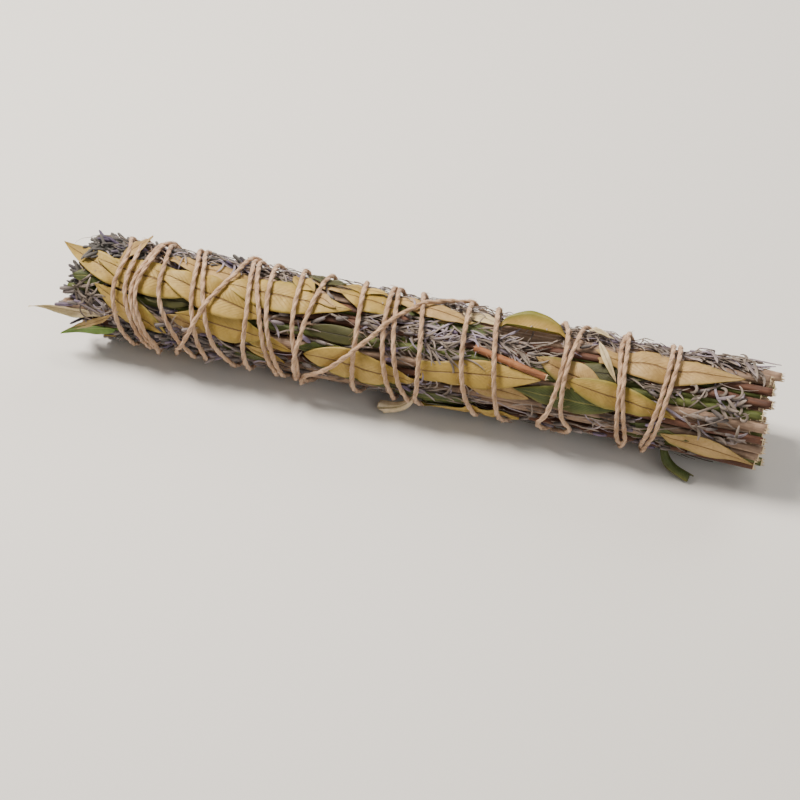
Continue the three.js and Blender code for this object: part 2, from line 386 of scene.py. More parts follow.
class Nodes:
    """A short way to place and join shader nodes in one tree."""

    def __init__(self, tree: bpy.types.NodeTree) -> None:
        """Works on the given tree."""
        self.tree = tree

    def add(self, kind: str, inputs: dict | None = None, **settings: object) -> bpy.types.Node:
        """Adds a node.

        Args:
            kind: Its type, such as ShaderNodeMath.
            inputs: What each input, by name or number, takes: a value or another node's output.
            **settings: Values of the node's own properties.

        Returns:
            The node.
        """
        node = self.tree.nodes.new(kind)
        for key, value in settings.items():
            setattr(node, key, value)
        for key, value in (inputs or {}).items():
            if isinstance(value, bpy.types.NodeSocket):
                self.tree.links.new(value, node.inputs[key])
            else:
                node.inputs[key].default_value = value
        return node

    def math(self, kind: str, *values: object) -> bpy.types.NodeSocket:
        """The result of a Math node on the given values."""
        return self.add("ShaderNodeMath", dict(enumerate(values)), operation=kind).outputs[0]

    def mix(self, amount: object, a: object, b: object, blend: str = "MIX") -> bpy.types.NodeSocket:
        """A mix of two colours."""
        node = self.add("ShaderNodeMix", {0: amount, 6: a, 7: b}, data_type="RGBA", blend_type=blend)
        return node.outputs[2]

    def ramp(self, value: bpy.types.NodeSocket, low: float, high: float) -> bpy.types.NodeSocket:
        """A value stretched so that low becomes 0 and high becomes 1."""
        return self.add("ShaderNodeMapRange", {0: value, 1: low, 2: high}).outputs[0]

    def noise(self, vector: object, scale: float, detail: float = 3.0) -> bpy.types.NodeSocket:
        """Smooth noise over a vector."""
        inputs = {"Vector": vector, "Scale": scale, "Detail": detail}
        return self.add("ShaderNodeTexNoise", inputs).outputs[0]

    def mottle(self, tree: bpy.types.NodeTree, colour: object, blotch: Colour,
               amount: float) -> bpy.types.Node:
        """Adds the group of blotches over a colour."""
        inputs = {"Color": colour, "Blotch": (*blotch, 1), "Amount": amount}
        return self.add("ShaderNodeGroup", inputs, node_tree=tree)

    def bump(self, shader: bpy.types.Node, height: object, strength: float, distance: float) -> None:
        """Gives a shader's surface the relief of a height."""
        inputs = {"Strength": strength, "Distance": distance, "Height": height}
        self.tree.links.new(self.add("ShaderNodeBump", inputs).outputs[0], shader.inputs["Normal"])


def group(name: str, inputs: Sequence[tuple[str, str, object]], outputs: Sequence[tuple[str, str]],
          fill: Callable[[Nodes, dict, dict], None]) -> bpy.types.NodeTree:
    """Builds a shader node group.

    Args:
        name: Its name.
        inputs: Name, socket type and default of each input.
        outputs: Name and socket type of each output.
        fill: Places the nodes, given the helper, the inputs by name, and a dict for the outputs.

    Returns:
        The group.
    """
    tree = bpy.data.node_groups.new(name, "ShaderNodeTree")
    for label, kind, default in inputs:
        socket = tree.interface.new_socket(label, in_out="INPUT", socket_type=kind)
        socket.default_value = default
    for label, kind in outputs:
        tree.interface.new_socket(label, in_out="OUTPUT", socket_type=kind)
    nodes = Nodes(tree)
    source = nodes.add("NodeGroupInput")
    sink = nodes.add("NodeGroupOutput")
    results: dict = {}
    fill(nodes, {label: source.outputs[label] for label, _, _ in inputs}, results)
    for label, socket in results.items():
        tree.links.new(socket, sink.inputs[label])
    return tree


def fill_blotches(n: Nodes, given: dict, out: dict) -> None:
    """Fills the group that mottles a colour towards another.

    Args:
        n: Places the nodes.
        given: The group's inputs by name.
        out: Takes the group's outputs by name.
    """
    place = n.add("ShaderNodeTexCoord").outputs["Object"]
    broad = n.noise(place, 160.0, 4.0)
    fine = n.noise(place, 900.0, 3.0)
    both = n.math("ADD", n.math("MULTIPLY", broad, 0.7), n.math("MULTIPLY", fine, 0.3))
    mask = n.math("MULTIPLY", n.ramp(both, 0.38, 0.66), given["Amount"])
    out["Mask"] = mask
    out["Color"] = n.mix(mask, given["Color"], given["Blotch"])


def fill_grain(n: Nodes, given: dict, out: dict) -> None:
    """Fills the group of long fibres that run along the bundle.

    Args:
        n: Places the nodes.
        given: The group's inputs by name.
        out: Takes the group's outputs by name.
    """
    place = n.add("ShaderNodeTexCoord").outputs["Object"]
    stretched = n.add("ShaderNodeMapping", {"Vector": place, "Scale": (60.0, 1500.0, 1500.0)}).outputs[0]
    fibre = n.noise(stretched, 1.0, 4.0)
    out["Mask"] = n.math("MULTIPLY", n.ramp(fibre, 0.3, 0.7), given["Amount"])
    out["Height"] = fibre


@dataclass
class Effects:
    """The shader groups that several finishes share."""

    blotches: bpy.types.NodeTree = field(init=False)
    grain: bpy.types.NodeTree = field(init=False)

    def __post_init__(self) -> None:
        """Builds each group once."""
        colour, number = "NodeSocketColor", "NodeSocketFloat"
        inputs = [("Color", colour, (1, 1, 1, 1)), ("Blotch", colour, (0, 0, 0, 1)), ("Amount", number, 0.5)]
        outputs = [("Color", colour), ("Mask", number)]
        self.blotches = group("Dried plant blotches", inputs, outputs, fill_blotches)
        self.grain = group("Plant fibre grain", [("Amount", number, 0.5)],
                           [("Mask", number), ("Height", number)], fill_grain)


def new_material(name: str) -> tuple[bpy.types.Material, Nodes, bpy.types.Node, dict]:
    """Starts a material.

    Args:
        name: Its name.

    Returns:
        The material, its node helper, its Principled shader, and the four numbers stored on the mesh.
    """
    material = bpy.data.materials.new(name)
    material.use_nodes = True
    nodes = Nodes(material.node_tree)
    shader = material.node_tree.nodes["Principled BSDF"]
    stored = nodes.add("ShaderNodeAttribute", attribute_name="look")
    parts = nodes.add("ShaderNodeSeparateColor", {0: stored.outputs["Color"]})
    look = {"along": parts.outputs[0], "across": parts.outputs[1], "tint": parts.outputs[2],
            "mark": stored.outputs["Alpha"]}
    return material, nodes, shader, look


def darker(colour: Colour, part: float) -> Colour:
    """A colour with only part of its light."""
    return tuple(c * part for c in colour)


@dataclass(frozen=True)
class LeafFinish:
    """A dried leaf: pale blade, dark midrib, faint side veins, an edge that has kept some green, and painted
    light on one half with painted shade on the other.
    """

    name: str
    blade: Colour
    blotch: Colour
    edge: Colour
    rib: Colour
    roughness: float = 0.52
    # The gain to a paler blade: the tint reaches it through random tone, and through painted light on one half
    # of each leaf, with painted shade on the other half.
    fade_and_light: Colour = (1.4, 1.42, 1.9)
    side_veins: float = 24.0
    vein_slant: float = 4.0

    def build(self, effects: Effects) -> bpy.types.Material:
        """Makes the material.

        Args:
            effects: The shared shader groups.

        Returns:
            The material.
        """
        material, n, shader, look = new_material(self.name)
        # The tint mixes towards the paler blade: random tone, plus painted light on one half of the leaf and
        # painted shade on the other.
        faded_and_lit = tuple(min(1.0, c * gain) for c, gain in zip(self.blade, self.fade_and_light))
        base = n.mix(look["tint"], (*self.blade, 1), (*faded_and_lit, 1))
        spots = n.mottle(effects.blotches, base, self.blotch, 0.75)
        off = n.math("ABSOLUTE", n.math("SUBTRACT", n.math("MULTIPLY", look["across"], 2.0), 1.0))
        edged = n.math("MULTIPLY", n.ramp(off, 0.55, 1.0), look["mark"])
        colour = n.mix(edged, spots.outputs["Color"], (*self.edge, 1))
        slant = n.math("SUBTRACT", n.math("MULTIPLY", look["along"], self.side_veins),
                       n.math("MULTIPLY", off, self.vein_slant))
        wave = n.math("SINE", n.math("MULTIPLY", slant, FULL_TURN))
        veins = n.math("MULTIPLY", n.ramp(wave, 0.72, 1.0), n.ramp(off, 0.95, 0.1))
        colour = n.mix(n.math("MULTIPLY", veins, 0.22), colour, (*self.rib, 1))
        rib = n.ramp(off, 0.075, 0.03)
        colour = n.mix(n.math("MULTIPLY", rib, 0.85), colour, (*self.rib, 1))
        n.tree.links.new(colour, shader.inputs["Base Color"])
        height = n.math("SUBTRACT", n.math("MULTIPLY", spots.outputs["Mask"], 0.4),
                        n.math("ADD", n.math("MULTIPLY", rib, 0.8), n.math("MULTIPLY", veins, 0.35)))
        n.bump(shader, height, 0.9, 0.0004)
        rough = n.math("ADD", self.roughness, n.math("MULTIPLY", spots.outputs["Mask"], 0.2))
        n.tree.links.new(rough, shader.inputs["Roughness"])
        shader.inputs["Specular IOR Level"].default_value = 0.4
        return material


@dataclass(frozen=True)
class StemFinish:
    """A dried stem: streaked bark, and a pale pith where it is cut."""

    name: str
    bark: Colour
    streak: Colour
    pith: Colour = (0.78, 0.62, 0.38)

    def build(self, effects: Effects) -> bpy.types.Material:
        """Makes the material.

        Args:
            effects: The shared shader groups.

        Returns:
            The material.
        """
        material, n, shader, look = new_material(self.name)
        grain = n.add("ShaderNodeGroup", {"Amount": 0.9}, node_tree=effects.grain)
        base = n.mix(look["tint"], (*self.bark, 1), (*darker(self.bark, 0.7), 1))
        streaked = n.mix(grain.outputs["Mask"], base, (*self.streak, 1))
        spots = n.mottle(effects.blotches, streaked, darker(self.bark, 0.45), 0.6)
        colour = n.mix(look["mark"], spots.outputs["Color"], (*self.pith, 1))
        n.tree.links.new(colour, shader.inputs["Base Color"])
        n.bump(shader, grain.outputs["Height"], 0.7, 0.00025)
        n.tree.links.new(n.ramp(grain.outputs["Height"], -1.2, 1.2), shader.inputs["Roughness"])
        return material


@dataclass(frozen=True)
class FlowerFinish:
    """Dried calyces, buds and narrow leaves: from a base colour at the root to a tip colour."""

    name: str
    root: Colour
    tip: Colour
    other: Colour

    def build(self, effects: Effects) -> bpy.types.Material:
        """Makes the material.

        Args:
            effects: The shared shader groups.

        Returns:
            The material.
        """
        material, n, shader, look = new_material(self.name)
        base = n.mix(look["along"], (*self.root, 1), (*self.tip, 1))
        tinted = n.mix(n.ramp(look["tint"], 0.72, 0.95), base, (*self.other, 1))
        spots = n.mottle(effects.blotches, tinted, darker(self.root, 0.5), 0.5)
        n.tree.links.new(spots.outputs["Color"], shader.inputs["Base Color"])
        n.bump(shader, spots.outputs["Mask"], 0.4, 0.0002)
        shader.inputs["Roughness"].default_value = 0.85
        return material


@dataclass(frozen=True)
class TwineFinish:
    """Jute: fibres that follow the twist, and painted shade that darkens each ply where it lies against the
    other.
    """

    name: str
    light: Colour
    dark: Colour

    def build(self, effects: Effects) -> bpy.types.Material:
        """Makes the material.

        Args:
            effects: The shared shader groups.

        Returns:
            The material.
        """
        material, n, shader, look = new_material(self.name)
        lines = n.math("SINE", n.math("ADD", n.math("MULTIPLY", look["across"], 60.0),
                                      n.math("MULTIPLY", look["along"], 9.0)))
        streak = n.ramp(lines, -1.0, 1.0)
        base = n.mix(n.math("MULTIPLY", streak, 0.85), (*self.light, 1), (*self.dark, 1))
        spots = n.mottle(effects.blotches, base, darker(self.dark, 0.75), 0.8)
        # Painted shade: the mark darkens each ply where it faces the other ply, standing in for the shaded
        # hollow between them.
        groove_shade = n.math("MULTIPLY", look["mark"], 0.55)
        colour = n.mix(groove_shade, spots.outputs["Color"], (*darker(self.dark, 0.4), 1))
        n.tree.links.new(colour, shader.inputs["Base Color"])
        n.bump(shader, streak, 0.6, 0.00015)
        shader.inputs["Roughness"].default_value = 0.9
        shader.inputs["Sheen Weight"].default_value = 0.25
        return material


class LeafLook(Enum):
    """The kinds of dried leaf in the stick."""

    GOLD = LeafFinish("gold leaf", (0.36, 0.235, 0.045), (0.235, 0.15, 0.026), (0.13, 0.15, 0.012),
                      (0.12, 0.06, 0.016))
    TAN = LeafFinish("tan leaf", (0.37, 0.235, 0.07), (0.22, 0.13, 0.038), (0.13, 0.135, 0.016),
                     (0.14, 0.07, 0.022))
    OLIVE = LeafFinish("olive leaf", (0.05, 0.048, 0.01), (0.03, 0.028, 0.008), (0.1, 0.1, 0.012),
                       (0.025, 0.02, 0.008))
    GREEN = LeafFinish("green leaf", (0.045, 0.06, 0.008), (0.022, 0.03, 0.005), (0.21, 0.185, 0.03),
                       (0.2, 0.19, 0.04))
    FRESH = LeafFinish("fresh green leaf", (0.10, 0.19, 0.018), (0.05, 0.10, 0.01), (0.28, 0.3, 0.05),
                       (0.35, 0.4, 0.1))
    PALE = LeafFinish("pale leaf", (0.62, 0.5, 0.27), (0.42, 0.31, 0.14), (0.5, 0.46, 0.2),
                      (0.35, 0.27, 0.14))


SLOT_LOOKS = {"gold_leaf": LeafLook.GOLD, "olive_leaf": LeafLook.OLIVE,
              "green_leaf": LeafLook.GREEN, "pale_leaf": LeafLook.PALE}


class StemLook(Enum):
    """The kinds of stem, by the record's slots."""

    grey_stem = StemFinish("grey stem", (0.27, 0.165, 0.105), (0.45, 0.31, 0.215))
    red_stem = StemFinish("red-brown stem", (0.08, 0.025, 0.011), (0.16, 0.066, 0.034))
    green_stem = StemFinish("green stem", (0.065, 0.085, 0.01), (0.13, 0.145, 0.03))
    twig = StemFinish("bare twig", (0.27, 0.085, 0.025), (0.44, 0.19, 0.075))


class FlowerLook(Enum):
    """The kinds of small dried growth on the sprigs."""

    CALYX = FlowerFinish("dried calyx", (0.065, 0.054, 0.046), (0.27, 0.225, 0.215), (0.20, 0.15, 0.24))
    HEAD = FlowerFinish("dark flower head", (0.012, 0.013, 0.009), (0.125, 0.112, 0.105),
                        (0.10, 0.075, 0.135))
    NARROW = FlowerFinish("dried narrow leaf", (0.09, 0.068, 0.05), (0.40, 0.32, 0.27), (0.36, 0.30, 0.37))


# ---------------------------------------------------------------- leaves

def wobble(rng: np.random.Generator, t: Array, size: float, waves: int = 4) -> Array:
    """A smooth random wave.

    Args:
        rng: Where its numbers come from.
        t: Where it is read, from 0 to 1.
        size: How far it swings.
        waves: How many waves it is made of.

    Returns:
        The wave at t.
    """
    total = np.zeros_like(t)
    for k in range(1, waves + 1):
        total = total + rng.normal() / k * np.sin(FULL_TURN * (k * 0.6 * t + rng.random()))
    return total * size * 0.6


@dataclass
class LeafPlace:
    """Where a leaf lies on the bundle: its base and tip as x, angle and radius, and its width."""

    base: Array
    tip: Array
    width: float
    cut: float = 0.0

    unroll_radius = 16.0

    @property
    def along(self) -> Array:
        """The way from base to tip on the unrolled bundle, in millimetres."""
        turn = math.radians(self.tip[1] - self.base[1])
        return np.array([self.tip[0] - self.base[0], turn * self.unroll_radius])

    def at(self, t: Array, across: Array) -> tuple[Array, Array]:
        """x and angle of places on the leaf.

        Args:
            t: From 0 at its base to 1 at its tip.
            across: Millimetres to one side of its midrib.

        Returns:
            x and angle.
        """
        along = self.along
        side = np.array([-along[1], along[0]]) / np.linalg.norm(along)
        x = self.base[0] + along[0] * t + side[0] * across
        angle = self.base[1] + np.degrees((along[1] * t + side[1] * across) / self.unroll_radius)
        return x, angle

    def outline(self, t: Array) -> Array:
        """The leaf's half width.

        Args:
            t: From 0 at its base to 1 at its tip.

        Returns:
            Millimetres.
        """
        lance = np.sin(math.pi * np.clip(t, 0, 1) ** 0.85) ** 0.95
        start = np.where(t < 0.45, self.cut, 0.0)
        return self.width / 2 * np.maximum(np.maximum(lance, start), 0.015)

    def covers(self, x: Array, angle: Array, margin: float = 0.0) -> Array:
        """Whether places on the bundle are under this leaf.

        Args:
            x: Places along the bundle.
            angle: Angles round it.
            margin: Millimetres to add round the leaf.

        Returns:
            True where they are.
        """
        along = self.along
        length = np.linalg.norm(along)
        turn = np.mod(angle - self.base[1] + 180, 360) - 180
        u, v = x - self.base[0], np.radians(turn) * self.unroll_radius
        t = (u * along[0] + v * along[1]) / length ** 2
        off = (v * along[0] - u * along[1]) / length
        return (t > 0) & (t < 1) & (np.abs(off) < self.outline(t) + margin)


def read_leaf(bundle: Bundle, node: bpy.types.Object, cut: float) -> LeafPlace:
    """Finds where a CAD leaf lies.

    Args:
        bundle: The bundle it lies on.
        node: The leaf's object in the frame.
        cut: How broad its base is, as a part of its width.

    Returns:
        Its place.
    """
    points = np.array([v.co for v in node.data.vertices])
    x, angle, radius = bundle.unroll(points)
    middle = angle[np.argsort(np.abs(x - x.mean()))[0]]
    angle = middle + np.mod(angle - middle + 180, 360) - 180
    flat = np.stack([x, np.radians(angle) * LeafPlace.unroll_radius], 1)
    spread = flat - flat.mean(0)
    direction = np.linalg.svd(spread, full_matrices=False)[2][0]
    t = spread @ direction
    off = spread @ np.array([-direction[1], direction[0]])
    quarter, three = np.quantile([t.min(), t.max()], [0.25, 0.75])
    reach = (t.max() - t.min()) * 0.13
    if np.ptp(off[np.abs(t - quarter) < reach]) < np.ptp(off[np.abs(t - three) < reach]):
        t = -t
    ends = []
    for end in (t.min(), t.max()):
        near = np.abs(t - end) < 0.6
        ends.append(np.array([x[near].mean(), angle[near].mean(), radius[near].mean()]))
    return LeafPlace(ends[0], ends[1], float(np.ptp(off)), cut)


class Curl(Enum):
    """How a leaf has dried."""

    FLAT = 0.0
    CUPPED = 0.55
    FOLDED = 1.3


@dataclass(frozen=True)
class Habit:
    """How one leaf differs from a plain one of its slot."""

    look: LeafLook | None = None
    cut: float = 0.0
    curl: Curl = Curl.FLAT
    lift: float = 0.0
    green: float = 0.35


@dataclass
class Leaves:
    """Every long leaf, made finer where its CAD leaf lies."""

    bundle: Bundle
    effects: Effects
    rows: int = 44
    columns: int = 14
    thickness: float = 0.16
    innermost: float = 13.0
    ripple: float = 0.16
    rib_depth: float = 0.1
    edge_wave: float = 0.3
    roll_steps: int = 26
    roll_from: float = -0.4
    roll_to: float = 1.62 * math.pi
    places: dict[str, LeafPlace] = field(default_factory=dict)
    materials: dict[LeafLook, bpy.types.Material] = field(default_factory=dict)

    HABITS = {
        "leaf_broad_gold": Habit(LeafLook.TAN, cut=0.5),
        "leaf_bright_green": Habit(green=0.9),
        "leaf_cut_end": Habit(LeafLook.TAN, green=0.7),
        "leaf_cut_gold": Habit(cut=0.8),
        "leaf_end_long": Habit(curl=Curl.CUPPED, lift=0.8),
        "leaf_end_low": Habit(green=0.6),
        "leaf_green_edged": Habit(LeafLook.TAN, green=1.0),
        "leaf_high_gold": Habit(LeafLook.TAN),
        "leaf_low_gold": Habit(green=0.5),
        "leaf_low_pale": Habit(LeafLook.TAN),
        "leaf_low_yellow": Habit(curl=Curl.CUPPED, green=0.5),
        "leaf_ridge_folded": Habit(LeafLook.GOLD, curl=Curl.FOLDED, green=1.0),
        "leaf_ridge_green": Habit(LeafLook.TAN, green=1.0),
        "leaf_ridge_tan": Habit(LeafLook.TAN),
        "leaf_slanting_gold": Habit(green=0.9),
        "leaf_stray_green": Habit(LeafLook.FRESH, curl=Curl.CUPPED, lift=1.6, green=0.2),
        "leaf_stray_pale": Habit(cut=0.6, curl=Curl.CUPPED, lift=1.2),
        "leaf_torn_gold": Habit(cut=0.75),
        "leaf_under_b": Habit(LeafLook.TAN),
        "leaf_under_front": Habit(curl=Curl.CUPPED, lift=1.6),
        "leaf_wide_gold": Habit(green=0.15),
    }
    # Rolled leaves: where each comes out and where its tip is, the roll's radius at both, and its look.
    ROLLS = {
        "leaf_curled_tip": ((6.0, -36.0, 14.4), (-4.5, -48.5, 20.6), (0.9, 2.15), LeafLook.PALE),
        "leaf_touching": ((85.0, -40.0, 14.0), (94.6, -46.5, 22.6), (1.3, 1.5), LeafLook.GREEN),
    }
    # Loose bits: base, tip, width and look.
    BITS = {
        "bit_white_sliver": ((56.5, 107.0, 19.4), (64.5, 103.0, 18.0), 2.4, LeafLook.PALE),
        "bit_green_sliver": ((-32.0, 14.0, 14.7), (-15.0, 27.0, 14.9), 4.6, LeafLook.GREEN),
        "bit_ridge_dark": ((-6.0, 97.0, 14.9), (32.0, 79.0, 15.1), 7.5, LeafLook.GREEN),
        "bit_ridge_gold": ((-6.0, 106.0, 16.2), (22.0, 85.0, 16.8), 7.0, LeafLook.TAN),
        "bit_low_tip": ((40.0, -30.0, 16.0), (8.5, -35.0, 18.4), 7.5, LeafLook.GOLD),
        "bit_low_leaf": ((26.0, -16.0, 15.3), (-2.0, -24.0, 16.2), 7.0, LeafLook.GREEN),
        "bit_ochre_curl": ((-38.5, 106.0, 16.6), (-30.0, 84.0, 17.4), 5.5, LeafLook.GOLD),
        "bit_torn_tongue": ((-31.0, 86.0, 16.4), (-21.5, 70.0, 16.8), 3.6, LeafLook.TAN),
        "bit_green_end": ((-96.0, 55.0, 14.9), (-109.0, 47.0, 15.6), 6.0, LeafLook.GREEN),
        "bit_top_bract": ((-88.0, 119.0, 19.6), (-94.5, 76.0, 17.6), 4.8, LeafLook.TAN),
        "bit_low_olive": ((-56.0, 13.0, 14.8), (-76.0, 23.0, 15.2), 6.4, LeafLook.TAN),
        "bit_rolled_edge": ((60.5, 92.0, 17.4), (68.5, 50.0, 17.0), 2.3, LeafLook.PALE),
        "bit_top_green": ((-35.0, 119.0, 16.4), (-21.0, 107.0, 17.2), 5.4, LeafLook.OLIVE),
        "bit_top_gold": ((-23.0, 113.0, 16.2), (-7.0, 103.0, 17.2), 5.4, LeafLook.GOLD),
        "bit_stray_tan": ((-94.0, 9.0, 15.6), (-112.5, -36.0, 17.2), 2.6, LeafLook.TAN),
        "bit_low_gold": ((-49.0, 2.0, 15.0), (-36.0, -12.0, 15.4), 4.2, LeafLook.GOLD),
        "bit_low_green": ((-60.0, -8.0, 14.9), (-40.0, -20.0, 15.4), 5.0, LeafLook.GREEN),
        "bit_front_green": ((-26.0, -6.0, 15.0), (6.0, -20.0, 15.4), 6.0, LeafLook.GREEN),
        "bit_right_green": ((74.0, 2.0, 15.0), (93.0, -2.0, 15.2), 4.6, LeafLook.GREEN),
        "bit_dark_top": ((52.0, 55.0, 14.8), (78.0, 62.0, 15.2), 7.0, LeafLook.OLIVE),
    }

    def material(self, look: LeafLook) -> bpy.types.Material:
        """The material of a look, made once.

        Args:
            look: The look.

        Returns:
            Its material.
        """
        if look not in self.materials:
            self.materials[look] = look.value.build(self.effects)
        return self.materials[look]

    def build(self, frame: dict) -> None:
        """Makes every leaf.

        Args:
            frame: The loaded frame.
        """
        slots = slots_of(frame)
        names = sorted(n for n in frame["nodes"] if n.startswith("leaf_") and n not in self.ROLLS)
        for number, name in enumerate(names):
            habit = self.HABITS.get(name, Habit())
            place = read_leaf(self.bundle, frame["nodes"][name], habit.cut)
            self.places[name] = place
            look = habit.look or SLOT_LOOKS[slots[name]]
            piece = self.blade(name, place, look, np.random.default_rng(100 + number))
            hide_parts(name)
        for number, (name, (base, tip, width, look)) in enumerate(self.BITS.items()):
            place = LeafPlace(np.array(base), np.array(tip), width)
            piece = self.blade(name, place, look, np.random.default_rng(60 + number))
        for name, (start, end, sizes, look) in self.ROLLS.items():
            piece = self.roll(name, start, end, sizes, look)
            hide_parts(name)
        LOG.info("leaves: %d, loose bits: %d", len(names), len(self.BITS))

    def blade(self, name: str, place: LeafPlace, look: LeafLook,
              rng: np.random.Generator) -> bpy.types.Object:
        """Makes one leaf.

        Args:
            name: The leaf's name.
            place: Where it lies.
            look: Its finish.
            rng: Where its unevenness comes from.

        Returns:
            The piece.
        """
        habit = self.HABITS.get(name, Habit())
        curl = habit.curl.value
        t = np.linspace(0, 1, self.rows)[:, None]
        s = np.linspace(-1, 1, self.columns)[None, :]
        half = place.outline(t) * (1 + wobble(rng, t, 0.05, 7))
        torn = (place.cut > 0.3) * wobble(rng, s * 0.5 + 0.5, 0.035, 9) * (1 - t) ** 3
        bow = wobble(rng, t, 0.45, 2)
        x, angle = place.at(t + torn, s * half * math.cos(curl * 0.7) + bow)
        body = place.base[2] + (min(place.tip[2], 17.0) - place.base[2]) * t
        ripple = wobble(rng, t + 0.13 * s, self.ripple, 5)
        droop = 0.12 * (1 - np.abs(s)) - self.rib_depth * np.exp(-(s / 0.12) ** 2)
        cup = curl * half * 0.55 * s ** 2
        edge = wobble(rng, t, self.edge_wave, 8) * np.maximum(s, 0) ** 2
        edge = edge + wobble(rng, t, self.edge_wave, 8) * np.minimum(s, 0) ** 2
        tilt = rng.uniform(-0.07, 0.16, 2)
        edge = edge + np.where(s > 0, tilt[0], tilt[1]) * np.abs(s) * half
        rest = self.bundle.pressed(x, angle, body + ripple * 0.6 + droop)
        free = np.clip((self.bundle.from_twine(x, angle) - 0.7) / 1.8, 0, 1)
        tip_lift = habit.lift * np.clip((t - 0.45) / 0.55, 0, 1) ** 2.2
        tip_lift = tip_lift + 0.5 * np.clip((t - 0.8) / 0.2, 0, 1) ** 2
        radius = np.maximum(rest + (cup + edge + tip_lift) * free, self.innermost)
        faces = []
        for depth, clearance in ((0.0, 0.3), (self.thickness, 0.1)):
            face = self.bundle.place(x, angle, radius - depth)
            face[..., 2] = np.maximum(face[..., 2], clearance * MM)
            faces.append(face)
        # Random tone, plus painted light and shade: the 0.12 step by side lights one half of the leaf and
        # shades the other, as if it were folded along its midrib.
        tint = rng.random() * 0.7 + 0.15 + wobble(rng, t + 0.2 * s, 0.4, 3) + 0.12 * np.sign(s)
        green = habit.green * np.clip(0.6 + wobble(rng, t, 0.5, 3), 0, 1)
        skin = Skin()
        skin.add_sheet(*faces, look_of(t, s * 0.5 + 0.5, np.clip(tint, 0, 1), green))
        return skin.make(f"{name}_blade", self.material(look))

    def roll(self, name: str, start: Place, end: Place, sizes: tuple[float, float],
             look: LeafLook) -> bpy.types.Object:
        """Makes a leaf that has rolled itself up.

        Args:
            name: The leaf's name.
            start: Where it comes out of the bundle: x, angle and radius.
            end: Where its tip is.
            sizes: The roll's radius at each end, in millimetres.
            look: Its finish.

        Returns:
            The piece.
        """
        t = np.linspace(0, 1, self.roll_steps)[:, None]
        first, last = (self.bundle.place(*(np.array(v) for v in place)) for place in (start, end))
        sag = np.array([-2.2 * np.sign(last[0] - first[0]), -0.9, -0.6]) * MM
        spine = first + (last - first) * t + sag * np.sin(math.pi * t)
        ahead = unit(last - first)
        side = unit(np.cross(ahead, [0, 0, 1.0]))
        up = np.cross(side, ahead)
        turn = np.linspace(self.roll_from, self.roll_to, self.roll_steps)[None, :]
        size = (sizes[0] + (sizes[1] - sizes[0]) * t ** 1.5) * (1.12 - 0.045 * turn)
        size = size * (1 + 0.06 * np.sin(7 * turn + 9 * t)) * MM
        end_wave = 0.5 * MM * np.sin(3 * turn + 1) * t ** 6
        ring = side * np.cos(turn)[..., None] + up * np.sin(turn)[..., None]
        faces = []
        for depth in (0.0, self.thickness * MM):
            face = spine[:, None] + ring * (size - depth)[..., None] + ahead * end_wave[..., None]
            face[..., 2] = np.maximum(face[..., 2], 0.2 * MM)
            faces.append(face)
        across = (turn - self.roll_from) / (self.roll_to - self.roll_from)
        skin = Skin()
        skin.add_sheet(*faces, look_of(t, across, 0.4 + 0.6 * t, 0.9 * t ** 2))
        return skin.make(f"{name}_blade", self.material(look))

    def covered(self, x: Array, angle: Array, margin: float = 0.3) -> Array:
        """Whether places on the bundle are under any leaf.

        Args:
            x: Places along the bundle.
            angle: Angles round it.
            margin: Millimetres to add round each leaf.

        Returns:
            True where they are.
        """
        hidden = np.zeros(np.shape(x), bool)
        for place in self.places.values():
            hidden |= place.covers(x, angle, margin)
        return hidden


# ---------------------------------------------------------------- sprigs, stems and flowers

def read_rod(bundle: Bundle, node: bpy.types.Object, bins: int = 12) -> tuple[Array, Array, Array]:
    """Finds a CAD rod's middle line.

    Args:
        bundle: The bundle it lies in.
        node: The rod's object in the frame.
        bins: How many stations it has.

    Returns:
        x, y and z of the line in millimetres from the bundle's axis, from the flower end to the cut end.
    """
    points = np.array([v.co for v in node.data.vertices]) / MM
    points -= (bundle.shift[0], bundle.shift[1], bundle.cad_axis_height)
    stations = np.linspace(points[:, 0].min(), points[:, 0].max(), bins)
    line = []
    for station in stations:
        chosen = points[np.abs(points[:, 0] - station) < np.ptp(points[:, 0]) / bins * 0.6]
        middle = (chosen.min(0) + chosen.max(0)) / 2
        line.append((station, middle[1], middle[2]))
    return tuple(np.array(line).T)

CALYX_STEPS = np.array([0, 0.15, 0.4, 0.7, 0.92, 1.0])


def add_calyx(skin: Skin, spine: Array, steps: Array, size: float, shape: Sequence[float],
              rng: np.random.Generator) -> None:
    """Adds one calyx.

    Args:
        skin: The mesh to add to.
        spine: Its middle line, from its foot to its mouth.
        steps: How far along each point of the line is, from 0 to 1.
        size: Its greatest radius in millimetres.
        shape: The part of that radius that it has at each point.
        rng: Where its tint comes from.
    """
    skin.add_tube(spine, size * np.array(shape) * MM, 6, look_of(steps, steps, rng.random(), 0))


